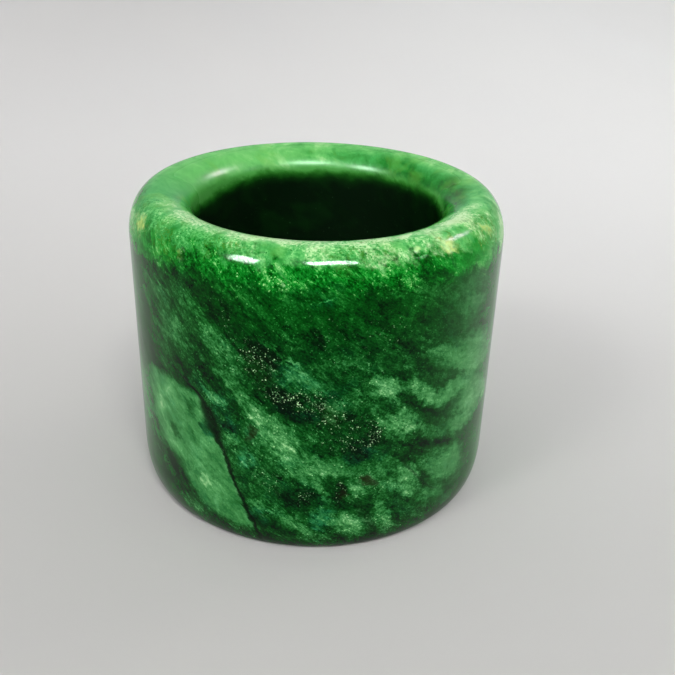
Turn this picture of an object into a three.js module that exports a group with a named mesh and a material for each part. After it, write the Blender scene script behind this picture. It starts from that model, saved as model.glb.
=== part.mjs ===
// A carved jade thumb ring: one piece of stone with a straight outer wall, a domed rim that
// turns in to the bore, and a flat foot to stand on.
// Millimetres, +Z up. The origin is the centre of the foot, and +Z runs along the bore.
import * as THREE from "three";

// Driving dimensions
const boreDiameter = 22;
const wallThickness = 5.5;
const ringHeight = 27.2;

// The rim at the top: its outer shoulder, then the mouth that flares from the crest to the bore
const shoulderWidth = 2.3;
const shoulderHeight = 3.5;
const mouthDepth = 2.2;

// The foot: its worn outer edge, and the edge of the bore, which is only eased
const footEdgeWidth = 1.0;
const footEdgeHeight = 3.4;
const footMouthWidth = 1.1;
const footMouthDepth = 1.2;

// Facets of each rounding, and facets round the ring
const roundingFacets = 7;
const ringFacets = 72;

// Polished stone
const stoneColour = 0x1f7a38;
const stoneRoughness = 0.12;
const stoneMetalness = 0;

// Radii that follow from the driving dimensions
const boreRadius = boreDiameter / 2;
const outerRadius = boreRadius + wallThickness;
const crestRadius = outerRadius - shoulderWidth;
const mouthWidth = crestRadius - boreRadius;

// A quarter of an ellipse in the section plane, as points (radius, height). It starts at the
// given quarter turn from the outward direction and runs anticlockwise, over the stone.
function quarterRounding(centreRadius, centreHeight, width, height, startQuarter) {
  const quarterTurn = Math.PI / 2;
  const curve = new THREE.EllipseCurve(
    centreRadius,
    centreHeight,
    width,
    height,
    startQuarter * quarterTurn,
    (startQuarter + 1) * quarterTurn,
  );
  return curve.getPoints(roundingFacets);
}

// The closed section of the ring, from the foot up the outer wall, over the rim and down the bore
function ringSection() {
  const footEdge = quarterRounding(
    outerRadius - footEdgeWidth,
    footEdgeHeight,
    footEdgeWidth,
    footEdgeHeight,
    3,
  );
  const shoulder = quarterRounding(
    crestRadius,
    ringHeight - shoulderHeight,
    shoulderWidth,
    shoulderHeight,
    0,
  );
  const mouth = quarterRounding(
    crestRadius,
    ringHeight - mouthDepth,
    mouthWidth,
    mouthDepth,
    1,
  );
  const footMouth = quarterRounding(
    boreRadius + footMouthWidth,
    footMouthDepth,
    footMouthWidth,
    footMouthDepth,
    2,
  );
  // The shoulder ends on the crest, where the mouth begins, so that point is kept once
  const [, ...mouthBelowCrest] = mouth;
  const [footStart] = footEdge;
  return [...footEdge, ...shoulder, ...mouthBelowCrest, ...footMouth, footStart];
}

// The ring is its section turned about the bore's axis, stood up from +Y to +Z
function ringMesh() {
  const geometry = new THREE.LatheGeometry(ringSection(), ringFacets);
  geometry.rotateX(Math.PI / 2);
  const jade = new THREE.MeshStandardMaterial({
    color: stoneColour,
    roughness: stoneRoughness,
    metalness: stoneMetalness,
  });
  const mesh = new THREE.Mesh(geometry, jade);
  mesh.name = "ring_body";
  return mesh;
}

const group = new THREE.Group();
group.add(ringMesh());

export default group;
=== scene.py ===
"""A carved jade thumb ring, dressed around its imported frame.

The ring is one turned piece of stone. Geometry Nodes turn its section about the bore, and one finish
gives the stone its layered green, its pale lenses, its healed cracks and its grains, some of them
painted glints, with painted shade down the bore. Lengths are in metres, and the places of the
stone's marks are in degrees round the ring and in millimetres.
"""
import logging
import math
from collections.abc import Mapping, Sequence
from dataclasses import dataclass, fields
from enum import Enum
from functools import reduce

import bpy
from mathutils import Matrix, Vector


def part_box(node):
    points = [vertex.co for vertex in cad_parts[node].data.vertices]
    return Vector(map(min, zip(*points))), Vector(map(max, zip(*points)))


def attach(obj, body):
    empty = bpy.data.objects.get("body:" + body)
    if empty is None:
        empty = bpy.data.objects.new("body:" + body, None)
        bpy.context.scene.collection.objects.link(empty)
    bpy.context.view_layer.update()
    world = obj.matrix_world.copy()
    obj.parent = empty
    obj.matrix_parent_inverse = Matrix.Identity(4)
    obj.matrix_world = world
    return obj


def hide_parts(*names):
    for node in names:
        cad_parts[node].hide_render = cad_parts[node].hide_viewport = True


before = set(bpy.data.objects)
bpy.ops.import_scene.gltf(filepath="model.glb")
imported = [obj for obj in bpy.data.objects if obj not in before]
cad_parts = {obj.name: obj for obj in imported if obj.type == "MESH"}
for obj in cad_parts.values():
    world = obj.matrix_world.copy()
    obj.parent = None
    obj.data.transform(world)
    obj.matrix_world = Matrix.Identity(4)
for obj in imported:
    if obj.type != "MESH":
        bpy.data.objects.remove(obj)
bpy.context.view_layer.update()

LOG = logging.getLogger("jade_ring")
MILLIMETRE = 0.001
PER_MILLIMETRE = 1.0 / MILLIMETRE
QUARTER_TURN = math.pi / 2.0
SRGB_LEVELS = 255.0

RGBA = tuple[float, float, float, float]


def srgb(red: int, green: int, blue: int) -> RGBA:
    """Turn a colour written in screen levels into the linear values that shaders take.

    Args:
        red: Red level, 0 to 255.
        green: Green level, 0 to 255.
        blue: Blue level, 0 to 255.

    Returns:
        The linear colour with full opacity.
    """
    knee, slope, offset, power = 0.04045, 12.92, 0.055, 2.4
    linear = []
    for level in (red, green, blue):
        share = level / SRGB_LEVELS
        linear.append(share / slope if share <= knee else ((share + offset) / (1.0 + offset)) ** power)
    return (linear[0], linear[1], linear[2], 1.0)


class SocketKind(Enum):
    """The kinds of socket that a node group's interface uses."""

    NUMBER = "NodeSocketFloat"
    COUNT = "NodeSocketInt"
    VECTOR = "NodeSocketVector"
    COLOUR = "NodeSocketColor"
    SHAPE = "NodeSocketGeometry"
    STONE = "NodeSocketMaterial"


@dataclass(frozen=True)
class Signal:
    """A value that flows through a node tree. Arithmetic on it adds the nodes that do the sum."""

    graph: "Graph"
    socket: bpy.types.NodeSocket

    def __add__(self, other: "Term") -> "Signal":
        """Add a number or another signal."""
        return self.graph.math("ADD", self, other)

    def __sub__(self, other: "Term") -> "Signal":
        """Take away a number or another signal."""
        return self.graph.math("SUBTRACT", self, other)

    def __rsub__(self, other: "Term") -> "Signal":
        """Take this signal away from a number."""
        return self.graph.math("SUBTRACT", other, self)

    def __mul__(self, other: "Term") -> "Signal":
        """Multiply by a number or another signal."""
        return self.graph.math("MULTIPLY", self, other)

    def __truediv__(self, other: "Term") -> "Signal":
        """Divide by a number or another signal."""
        return self.graph.math("DIVIDE", self, other)


Term = Signal | float | int | bool | Sequence[float] | bpy.types.Material


class Graph:
    """A node tree under construction, with one short call for each common step."""

    def __init__(self, tree: bpy.types.NodeTree) -> None:
        """Hold the tree that the calls add to.

        Args:
            tree: A shader or geometry node tree.
        """
        self.tree = tree

    def feed(self, socket: bpy.types.NodeSocket, value: Term) -> None:
        """Link a signal to a socket, or set the socket to a plain value.

        Args:
            socket: The socket, an input of a node.
            value: What goes into it.
        """
        if isinstance(value, Signal):
            self.tree.links.new(value.socket, socket)
        else:
            socket.default_value = value

    def node(
        self, kind: str, inputs: Mapping[str | int, Term] | None = None, **settings: object
    ) -> bpy.types.Node:
        """Add a node.

        Args:
            kind: Blender's name for the node type.
            inputs: What goes into each socket, by its name or place.
            **settings: Properties of the node itself, which are set first.

        Returns:
            The new node.
        """
        made = self.tree.nodes.new(kind)
        for name, value in settings.items():
            setattr(made, name, value)
        for key, value in (inputs or {}).items():
            self.feed(made.inputs[key], value)
        return made

    def output(self, made: bpy.types.Node, key: str | int = 0) -> Signal:
        """Take one output of a node as a signal."""
        return Signal(self, made.outputs[key])

    def take(
        self,
        kind: str,
        inputs: Mapping[str | int, Term] | None = None,
        key: str | int = 0,
        **settings: object,
    ) -> Signal:
        """Add a node as above, and take the output with that name or place.

        Args:
            kind: Blender's name for the node type.
            inputs: What goes into each socket, by its name or place.
            key: The output that is wanted, by its name or place.
            **settings: Properties of the node itself.

        Returns:
            That output.
        """
        return self.output(self.node(kind, inputs, **settings), key)

    def math(self, operation: str, *terms: Term, clamp: bool = False) -> Signal:
        """Do arithmetic on numbers and signals.

        Args:
            operation: Blender's name for the operation.
            *terms: The operands, in order.
            clamp: Whether the result is kept from 0 to 1.

        Returns:
            The result.
        """
        operands = dict(enumerate(terms))
        return self.take("ShaderNodeMath", operands, operation=operation, use_clamp=clamp)

    def vector_math(self, operation: str, first: Term, second: Term, key: str = "Vector") -> Signal:
        """Do arithmetic on vectors.

        Args:
            operation: Blender's name for the operation.
            first: The first vector.
            second: The second vector, or the number that scales the first.
            key: The output that is wanted.

        Returns:
            The result.
        """
        second_socket: str | int = "Scale" if operation == "SCALE" else 1
        operands = {0: first, second_socket: second}
        return self.take("ShaderNodeVectorMath", operands, key, operation=operation)

    def step(self, value: Signal, low: float, high: float) -> Signal:
        """Rise smoothly from 0 at one value to 1 at another, which may be the lower one.

        Args:
            value: The signal that is read.
            low: The value that gives 0.
            high: The value that gives 1.

        Returns:
            The share, from 0 to 1.
        """
        rising = low < high
        inputs = {
            "Value": value,
            "From Min": min(low, high),
            "From Max": max(low, high),
            "To Min": float(not rising),
            "To Max": float(rising),
        }
        return self.take("ShaderNodeMapRange", inputs, "Result", interpolation_type="SMOOTHSTEP")

    def blend(self, share: Term, first: Term, second: Term) -> Signal:
        """Mix two colours.

        Args:
            share: How much of the second colour shows, from 0 to 1.
            first: The colour at 0.
            second: The colour at 1.

        Returns:
            The mixed colour.
        """
        factor_socket, first_socket, second_socket, colour_output = 0, 6, 7, 2
        inputs = {factor_socket: share, first_socket: first, second_socket: second}
        return self.take("ShaderNodeMix", inputs, colour_output, data_type="RGBA")

    def combine(self, x: Term, y: Term, z: Term = 0.0) -> Signal:
        """Join three numbers into a vector."""
        return self.take("ShaderNodeCombineXYZ", {"X": x, "Y": y, "Z": z})

    def split(self, vector: Signal) -> tuple[Signal, Signal, Signal]:
        """Part a vector into its three numbers."""
        parts = self.node("ShaderNodeSeparateXYZ", {0: vector})
        return self.output(parts, "X"), self.output(parts, "Y"), self.output(parts, "Z")

    def place(self, group: bpy.types.NodeTree, inputs: Mapping[str, Term]) -> bpy.types.Node:
        """Place a shader node group, and feed its inputs by name."""
        return self.node("ShaderNodeGroup", inputs, node_tree=group)


@dataclass(frozen=True)
class GroupFrame:
    """A new node group: its graph, its inputs as signals, and its output node."""

    graph: Graph
    inputs: Mapping[str, Signal]
    sink: bpy.types.Node

    def give(self, name: str, value: Signal) -> None:
        """Feed one of the group's outputs."""
        self.graph.feed(self.sink.inputs[name], value)


def new_group(
    name: str, tree_type: str, inputs: Mapping[str, SocketKind], outputs: Mapping[str, SocketKind]
) -> GroupFrame:
    """Start a node group with named inputs and outputs.

    Args:
        name: The group's name.
        tree_type: Blender's name for the tree type.
        inputs: The kind of each input, by name.
        outputs: The kind of each output, by name.

    Returns:
        The group, ready to be filled.
    """
    tree = bpy.data.node_groups.new(name, tree_type)
    for direction, sockets in (("INPUT", inputs), ("OUTPUT", outputs)):
        for label, kind in sockets.items():
            tree.interface.new_socket(name=label, in_out=direction, socket_type=kind.value)
    graph = Graph(tree)
    source = graph.node("NodeGroupInput")
    sink = graph.node("NodeGroupOutput")
    return GroupFrame(graph, {label: Signal(graph, source.outputs[label]) for label in inputs}, sink)


@dataclass(frozen=True)
class RingForm:
    """The ring's sizes, in metres, and the mesh that Geometry Nodes turn from them.

    The section runs from the foot up the outer wall, over the shoulder to the crest, down the mouth
    and the bore, and back under the foot. Each rounding is a quarter of an ellipse.
    """

    outer_radius: float
    height: float
    bore_radius: float = 11.0 * MILLIMETRE
    shoulder_width: float = 2.3 * MILLIMETRE
    shoulder_height: float = 3.5 * MILLIMETRE
    mouth_depth: float = 2.2 * MILLIMETRE
    foot_edge_width: float = 1.0 * MILLIMETRE
    foot_edge_height: float = 3.4 * MILLIMETRE
    foot_mouth_width: float = 1.1 * MILLIMETRE
    foot_mouth_depth: float = 1.2 * MILLIMETRE
    ripple_depth: float = 0.05 * MILLIMETRE
    ripple_size: float = 7.0 * MILLIMETRE
    facets_around: int = 480
    rounding_facets: int = 20
    wall_facets: int = 58
    bore_facets: int = 34
    land_facets: int = 8

    @classmethod
    def from_frame(cls, node: str) -> "RingForm":
        """Take the ring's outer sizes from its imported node."""
        low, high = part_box(node)
        return cls(outer_radius=(high[0] - low[0]) / 2.0, height=high[2] - low[2])

    def build(self, name: str, stone: bpy.types.Material) -> bpy.types.Object:
        """Turn the ring and leave it as a plain mesh.

        Args:
            name: The piece's name.
            stone: The material that it wears.

        Returns:
            The ring's object, at the origin.
        """
        modifier_tree = self._tree()
        carrier = bpy.data.objects.new(name + "_carrier", bpy.data.meshes.new(name + "_carrier"))
        bpy.context.scene.collection.objects.link(carrier)
        modifier = carrier.modifiers.new("Turned section", "NODES")
        modifier.node_group = modifier_tree
        values = {**self._named_sizes(), "Facets Around": self.facets_around, "Stone": stone}
        for item in modifier_tree.interface.items_tree:
            if item.in_out == "INPUT" and item.name in values:
                modifier[item.identifier] = values[item.name]
        graph = bpy.context.evaluated_depsgraph_get()
        mesh = bpy.data.meshes.new_from_object(carrier.evaluated_get(graph))
        bpy.data.objects.remove(carrier)
        mesh.name = name
        ring = bpy.data.objects.new(name, mesh)
        bpy.context.scene.collection.objects.link(ring)
        return ring

    def _named_sizes(self) -> dict[str, float]:
        """Name each size as the tree's inputs name it."""
        names = [field.name for field in fields(self) if "facets" not in field.name]
        return {name.replace("_", " ").title(): getattr(self, name) for name in names}

    def _rounding(
        self, graph: Graph, centre: tuple[Term, Term], reach: tuple[Term, Term], start_quarter: int
    ) -> Signal:
        """Draw a quarter of an ellipse in the section plane, where X is radius and Y is height.

        Args:
            graph: The tree that it is drawn in.
            centre: Radius and height of the ellipse's centre.
            reach: Its half width and half height.
            start_quarter: The quarter turn that it starts at.

        Returns:
            The curve.
        """
        arc = {
            "Resolution": self.rounding_facets + 1,
            "Radius": 1.0,
            "Start Angle": start_quarter * QUARTER_TURN,
            "Sweep Angle": QUARTER_TURN,
        }
        placed = {
            "Geometry": graph.take("GeometryNodeCurveArc", arc),
            "Translation": graph.combine(*centre),
            "Scale": graph.combine(*reach, 1.0),
        }
        return graph.take("GeometryNodeTransform", placed)

    def _straight(
        self, graph: Graph, start: tuple[Term, Term], end: tuple[Term, Term], facets: int
    ) -> Signal:
        """Draw a straight stretch of the section, cut into facets.

        Args:
            graph: The tree that it is drawn in.
            start: Radius and height of its first point.
            end: Radius and height of its last point.
            facets: How many facets it has.

        Returns:
            The curve.
        """
        ends = {"Start": graph.combine(*start), "End": graph.combine(*end)}
        line = graph.take("GeometryNodeCurvePrimitiveLine", ends)
        return graph.take("GeometryNodeResampleCurve", {"Curve": line, "Count": facets + 1})

    def _section(self, graph: Graph, size: Mapping[str, Signal]) -> Signal:
        """Draw the ring's closed section.

        Args:
            graph: The tree that it is drawn in.
            size: The tree's inputs.

        Returns:
            One closed curve, with radius along X and height along Y.
        """
        outer, bore, top = size["Outer Radius"], size["Bore Radius"], size["Height"]
        shoulder_width, shoulder_height = size["Shoulder Width"], size["Shoulder Height"]
        edge_width, edge_height = size["Foot Edge Width"], size["Foot Edge Height"]
        foot_width, foot_depth = size["Foot Mouth Width"], size["Foot Mouth Depth"]
        mouth_depth = size["Mouth Depth"]
        crest = outer - shoulder_width
        wall_top, bore_top = top - shoulder_height, top - mouth_depth
        land_outer, land_inner = outer - edge_width, bore + foot_width
        roundings = (
            ((land_outer, edge_height), (edge_width, edge_height), 3),
            ((crest, wall_top), (shoulder_width, shoulder_height), 0),
            ((crest, bore_top), (crest - bore, mouth_depth), 1),
            ((land_inner, foot_depth), (foot_width, foot_depth), 2),
        )
        straights = (
            ((outer, edge_height), (outer, wall_top), self.wall_facets),
            ((bore, bore_top), (bore, foot_depth), self.bore_facets),
            ((land_inner, 0.0), (land_outer, 0.0), self.land_facets),
        )
        stretches = [self._rounding(graph, *rounding) for rounding in roundings]
        stretches += [self._straight(graph, *straight) for straight in straights]
        joined = graph.node("GeometryNodeJoinGeometry")
        for stretch in stretches:
            graph.feed(joined.inputs[0], stretch)
        edges = graph.take("GeometryNodeCurveToMesh", {"Curve": graph.output(joined)})
        weld = {"Geometry": edges, "Distance": MILLIMETRE * MILLIMETRE}
        welded = graph.take("GeometryNodeMergeByDistance", weld)
        return graph.take("GeometryNodeMeshToCurve", {"Mesh": welded})

    def _tree(self) -> bpy.types.NodeTree:
        """Build the tree that turns the section about the bore and gives it a hand polish's soft waves.

        Returns:
            The tree.
        """
        kinds = dict.fromkeys(self._named_sizes(), SocketKind.NUMBER)
        kinds |= {"Facets Around": SocketKind.COUNT, "Stone": SocketKind.STONE}
        group = new_group("Turned ring", "GeometryNodeTree", kinds, {"Ring": SocketKind.SHAPE})
        graph, size = group.graph, group.inputs
        crest = size["Outer Radius"] - size["Shoulder Width"]
        circle = {"Resolution": size["Facets Around"], "Radius": crest}
        path = graph.take("GeometryNodeCurvePrimitiveCircle", circle)
        # The sweep takes its profile outwards along X and downwards along Y, from the path
        upright = {
            "Geometry": self._section(graph, size),
            "Translation": graph.combine(crest * -1.0, 0.0),
            "Scale": (1.0, -1.0, 1.0),
        }
        profile = graph.take("GeometryNodeTransform", upright)
        swept = graph.take("GeometryNodeCurveToMesh", {"Curve": path, "Profile Curve": profile})
        turned = graph.take("GeometryNodeFlipFaces", {"Mesh": swept})
        position = graph.take("GeometryNodeInputPosition")
        off_the_foot = graph.step(graph.split(position)[2], 0.0, self.foot_edge_height)
        scale = graph.math("DIVIDE", 1.0, size["Ripple Size"])
        waves = graph.take("ShaderNodeTexNoise", {"Vector": position, "Scale": scale})
        dip = waves * off_the_foot * size["Ripple Depth"] * -1.0
        offset = graph.vector_math("SCALE", graph.take("GeometryNodeInputNormal"), dip)
        polished = graph.take("GeometryNodeSetPosition", {"Geometry": turned, "Offset": offset})
        smooth = graph.take("GeometryNodeSetShadeSmooth", {"Geometry": polished})
        real = graph.take("GeometryNodeRealizeInstances", {"Geometry": smooth})
        stone = {"Geometry": real, "Material": size["Stone"]}
        group.give("Ring", graph.take("GeometryNodeSetMaterial", stone))
        return graph.tree


class MarkKind(Enum):
    """What a mark does to the stone under it."""

    TONE = "lighter or darker green"
    TEAL = "cooler green"
    # The brightest of these grains are painted glints
    SPARKLE = "black ground with bright grains"
    RUST = "red-brown stain"
    GOLD = "olive and golden grains"
    PALE = "cream spot or fine pale line"
    PIT = "small hollow"


MARK_SOFTNESS = 1.35


@dataclass(frozen=True)
class Mark:
    """An oval mark on the outer wall.

    Attributes:
        azimuth: Degrees round the ring from its front, positive to the right.
        height: Millimetres above the foot.
        length: Half its length, in millimetres.
        width: Half its width, in millimetres.
        tilt: Degrees that it runs downhill to the right.
        strength: How strongly it acts. A negative tone darkens.
    """

    azimuth: float
    height: float
    length: float
    width: float
    tilt: float
    strength: float


MARKS: dict[MarkKind, tuple[Mark, ...]] = {
    MarkKind.TONE: (
        # The pale streak in the middle and what leads to it
        Mark(-11.5, 12.0, 2.5, 1.6, 40, 0.28),
        Mark(-8.0, 10.6, 1.8, 0.8, 42, 0.18),
        Mark(-3.6, 9.0, 2.3, 1.2, 46, 0.30),
        Mark(4.5, 8.9, 1.8, 0.9, 20, 0.24),
        Mark(-3.0, 11.8, 1.9, 1.0, 30, 0.16),
        Mark(-29.5, 14.3, 1.7, 0.55, 15, 0.24),
        Mark(-19.5, 14.2, 2.0, 0.8, 35, 0.30),
        Mark(-25.0, 16.5, 2.0, 0.8, 45, 0.16),
        Mark(-23.5, 10.5, 1.0, 0.5, -10, 0.34),
        Mark(-19.5, 9.1, 0.9, 0.8, 60, 0.24),
        # Above the black band
        Mark(-4.0, 16.9, 2.6, 1.1, 35, 0.18),
        Mark(-28.0, 19.0, 2.8, 1.0, 30, 0.18),
        Mark(5.5, 14.0, 1.0, 0.8, 60, 0.34),
        Mark(1.5, 18.2, 1.4, 0.35, 25, 0.20),
        Mark(12.5, 15.5, 1.4, 0.5, 60, 0.14),
        Mark(-9.5, 19.1, 2.6, 0.14, 42, 0.34),
        # A painted highlight: the thin pale streak of a reflection across the shoulder
        Mark(2.4, 24.0, 0.8, 0.13, 0, 0.5),
        # The pale clouds at the right
        Mark(20.5, 16.0, 1.5, 0.9, 38, 0.46),
        Mark(30.5, 14.8, 1.8, 0.9, 48, 0.46),
        Mark(43.0, 13.6, 3.2, 0.8, 0, 0.36),
        Mark(25.0, 12.4, 2.6, 1.3, 45, 0.36),
        Mark(55.0, 16.0, 4.2, 2.2, 20, 0.34),
        Mark(58.0, 11.4, 3.6, 2.2, 15, 0.34),
        Mark(38.0, 17.6, 2.8, 1.0, 25, 0.26),
        Mark(50.0, 9.8, 2.0, 0.7, 15, 0.24),
        Mark(35.0, 10.6, 2.4, 0.6, 25, 0.22),
        Mark(42.5, 6.2, 3.4, 1.8, 25, 0.36),
        Mark(28.5, 6.6, 1.7, 1.1, 60, 0.36),
        Mark(20.0, 7.6, 2.6, 2.0, 30, 0.22),
        Mark(35.0, 4.3, 2.6, 0.8, 25, 0.26),
        # Along the foot
        Mark(10.5, 3.0, 1.5, 1.3, 50, 0.44),
        Mark(21.5, 3.2, 1.8, 0.9, 55, 0.34),
        Mark(3.0, 3.7, 0.9, 1.1, 0, 0.24),
        Mark(2.4, 6.3, 1.5, 0.35, 62, 0.30),
        Mark(-8.5, 3.6, 1.5, 0.7, 60, 0.22),
        Mark(-4.0, 2.7, 1.2, 0.7, 40, 0.20),
        Mark(-16.5, 4.4, 1.3, 0.7, 60, 0.24),
        Mark(12.5, 6.2, 1.0, 0.5, 60, 0.25),
        Mark(-33.0, 5.2, 0.6, 0.5, 60, 0.20),
        Mark(-24.0, 3.6, 1.8, 1.3, 0, -0.08),
        Mark(-62.0, 10.0, 3.6, 3.4, 60, 0.20),
        Mark(-47.0, 20.0, 3.8, 2.4, 40, 0.13),
        Mark(52.0, 22.0, 3.6, 2.4, 30, 0.18),
        Mark(39.0, 16.0, 2.2, 0.9, 25, 0.16),
        # Dark ground
        Mark(-14.0, 17.4, 2.3, 1.5, 60, -0.19),
        Mark(-8.5, 15.2, 1.6, 0.8, 30, -0.24),
        Mark(-3.5, 14.0, 2.6, 0.7, 15, -0.24),
        Mark(9.5, 11.9, 2.9, 2.0, 30, -0.12),
        Mark(15.0, 9.4, 1.8, 0.6, 20, -0.18),
        Mark(-26.5, 12.4, 1.6, 0.9, 50, -0.18),
        Mark(-4.5, 6.0, 2.0, 1.1, 50, -0.18),
        Mark(8.0, 7.0, 1.3, 0.5, 75, -0.20),
        Mark(31.0, 9.2, 2.6, 0.7, 12, -0.20),
        Mark(41.5, 8.9, 2.0, 0.5, 25, -0.16),
        Mark(41.0, 11.9, 2.6, 0.5, 20, -0.14),
        Mark(22.0, 13.6, 1.0, 0.6, 40, -0.26),
        Mark(18.0, 4.0, 1.8, 0.5, 55, -0.16),
        Mark(25.5, 3.0, 1.2, 0.4, 70, -0.14),
        Mark(31.0, 17.2, 2.4, 0.8, 30, -0.06),
        Mark(42.0, 15.3, 2.4, 0.22, 17, -0.10),
        Mark(-13.5, 19.5, 1.8, 0.7, 40, -0.22),
        Mark(14.0, 20.6, 5.0, 2.8, 5, -0.08),
        Mark(-6.0, 21.0, 3.0, 2.2, 30, -0.08),
        Mark(31.6, 6.8, 2.0, 0.3, 68, -0.16),
        Mark(-28.0, 22.3, 2.6, 1.2, 42, -0.14),
        Mark(-40.0, 23.8, 2.2, 0.6, 15, -0.14),
        Mark(18.0, 23.2, 2.6, 0.8, 10, -0.14),
        Mark(-30.0, 16.0, 2.4, 0.7, 40, -0.16),
        Mark(-38.0, 15.4, 2.0, 0.5, 25, -0.14),
        Mark(-44.0, 4.8, 2.8, 1.4, 50, -0.18),
        Mark(-38.0, 12.6, 0.9, 0.5, 20, -0.18),
        Mark(-46.5, 8.6, 0.8, 0.6, 30, -0.18),
        Mark(-32.0, 10.6, 0.8, 0.5, 80, -0.30),
        Mark(-34.5, 7.2, 0.6, 0.35, 30, -0.14),
        # The sides and the back
        Mark(84.0, 9.0, 4.5, 1.8, 20, 0.34),
        Mark(100.0, 18.5, 3.6, 1.4, 10, 0.30),
        Mark(122.0, 7.0, 4.0, 1.5, -10, 0.36),
        Mark(140.0, 14.5, 5.0, 1.6, -25, 0.32),
        Mark(160.0, 20.0, 3.5, 1.3, -30, -0.22),
        Mark(172.0, 8.5, 3.6, 1.7, -40, 0.34),
        Mark(-165.0, 15.5, 4.4, 1.5, -35, 0.28),
        Mark(-148.0, 6.0, 3.4, 1.2, -30, -0.24),
        Mark(-138.0, 19.0, 4.2, 1.2, -20, 0.30),
        Mark(-118.0, 11.0, 3.8, 2.0, 10, 0.36),
        Mark(-98.0, 19.5, 3.2, 1.0, 30, -0.20),
        Mark(-84.0, 6.5, 3.0, 1.6, 45, 0.26),
    ),
    MarkKind.TEAL: (
        Mark(-5.0, 17.0, 2.6, 1.2, 30, 0.42),
        Mark(-19.5, 9.0, 1.0, 0.9, 60, 0.55),
        Mark(3.0, 3.7, 1.0, 1.2, 0, 0.7),
        Mark(-16.0, 3.6, 0.9, 0.8, 50, 0.5),
        # Cools the painted highlight streak at 24 mm to pale teal
        Mark(2.0, 23.8, 1.0, 0.5, 0, 1.0),
        Mark(-29.0, 14.2, 1.7, 0.7, 15, 0.45),
        Mark(-26.0, 12.2, 1.6, 1.0, 50, 0.6),
        Mark(-3.5, 14.0, 2.0, 0.5, 15, 0.6),
        Mark(14.0, 9.8, 2.0, 0.8, 10, 0.6),
        Mark(-32.0, 10.6, 0.9, 0.6, 80, 0.4),
        Mark(3.0, 25.2, 2.4, 0.8, 0, 0.4),
    ),
    MarkKind.SPARKLE: (
        Mark(-15.0, 18.2, 2.2, 1.7, 60, 0.62),
        Mark(-8.7, 15.4, 1.3, 0.7, 30, 1.0),
        Mark(-2.0, 14.9, 1.7, 0.8, 15, 0.70),
        Mark(4.5, 14.4, 2.0, 1.3, 40, 0.55),
        Mark(17.5, 11.9, 1.3, 1.0, 80, 0.70),
        Mark(16.5, 10.7, 1.2, 0.5, 10, 0.8),
        Mark(8.0, 12.2, 2.6, 1.6, 30, 0.45),
        Mark(-12.5, 7.2, 1.6, 1.2, 45, 0.42),
        Mark(-2.5, 5.8, 0.8, 0.8, 0, 0.5),
        Mark(8.0, 6.6, 1.4, 0.7, 80, 0.45),
        Mark(-25.0, 21.5, 2.6, 1.0, 45, 0.16),
        Mark(8.0, 19.5, 4.0, 2.0, 50, 0.14),
        Mark(20.0, 21.0, 3.0, 1.6, 20, 0.12),
    ),
    MarkKind.RUST: (
        Mark(15.8, 7.1, 0.8, 0.5, 30, 0.85),
        Mark(-17.8, 11.6, 0.8, 0.5, -60, 0.7),
        Mark(8.5, 6.4, 0.8, 0.35, 70, 0.4),
        Mark(5.0, 13.8, 1.0, 0.6, 50, 0.25),
        Mark(-14.5, 17.8, 2.0, 1.3, 60, 0.12),
    ),
    MarkKind.GOLD: (
        Mark(-66.0, 25.7, 2.4, 1.0, 0, 1.0),
        Mark(-48.0, 25.9, 2.2, 0.9, 10, 0.8),
        Mark(-39.0, 25.5, 0.5, 0.35, 30, 0.7),
        Mark(-27.0, 26.8, 2.6, 0.6, 0, 0.8),
        Mark(12.0, 26.9, 3.0, 0.5, 0, 0.7),
        Mark(40.0, 26.6, 1.6, 0.8, 10, 1.0),
        Mark(60.0, 26.0, 2.4, 1.0, 0, 1.0),
    ),
    MarkKind.PALE: (
        Mark(-39.5, 25.5, 0.8, 0.6, 40, 0.28),
        Mark(28.8, 26.75, 0.4, 0.3, 0, 0.8),
        Mark(40.0, 26.4, 0.7, 0.45, 10, 0.8),
        Mark(41.0, 26.5, 1.6, 0.9, 0, 0.46),
        Mark(60.0, 26.4, 1.2, 0.6, 20, 0.6),
        Mark(-64.0, 26.0, 1.6, 0.9, 30, 0.6),
        Mark(-8.7, 24.8, 0.2, 0.16, 40, 0.6),
    ),
    MarkKind.PIT: (Mark(28.5, 26.7, 0.7, 0.35, 0, 1.0),),
}


@dataclass(frozen=True)
class Seam:
    """A line in the stone that runs up the outer wall, as (height in mm, azimuth in degrees) points.

    Attributes:
        points: Places along it, from the lowest up.
        width: Half its width at its middle, in millimetres.
    """

    points: tuple[tuple[float, float], ...]
    width: float


CRACK = Seam(
    (
        (0.6, -15.0),
        (2.2, -17.0),
        (4.5, -20.5),
        (6.8, -23.5),
        (9.0, -26.3),
        (10.6, -29.4),
        (12.3, -31.4),
        (13.4, -33.6),
        (14.4, -37.5),
        (15.2, -44.0),
    ),
    0.17,
)
# The crack is widest at a height. It swells between these distances from it, by this much
CRACK_WIDE_HEIGHT = 11.9
CRACK_SWELLING = (2.6, 0.2)
CRACK_EXTRA_WIDTH = 0.40
LENS_EDGE = Seam(
    (
        (2.0, -24.0),
        (2.6, -31.5),
        (3.6, -37.5),
        (4.8, -42.0),
        (6.0, -46.5),
        (7.5, -51.5),
        (9.5, -55.5),
        (12.0, -58.0),
        (14.0, -58.0),
    ),
    0.5,
)
RIGHT_CRACK = Seam(((4.0, 40.5), (4.8, 36.5), (5.6, 33.5), (6.6, 30.8), (7.6, 28.4), (8.8, 26.0)), 0.14)
FOOT_CRACK = Seam(((1.0, 19.0), (2.0, 17.6), (3.2, 16.2), (4.2, 14.4), (5.4, 12.0)), 0.36)


@dataclass(frozen=True)
class Fissure:
    """A healed crack that runs through the stone as a nearly flat sheet, on the side away from the viewer.

    Attributes:
        facing: The direction that it faces.
        offset: Its distance from the middle of the foot along that direction, in millimetres.
    """

    facing: tuple[float, float, float]
    offset: float


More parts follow.
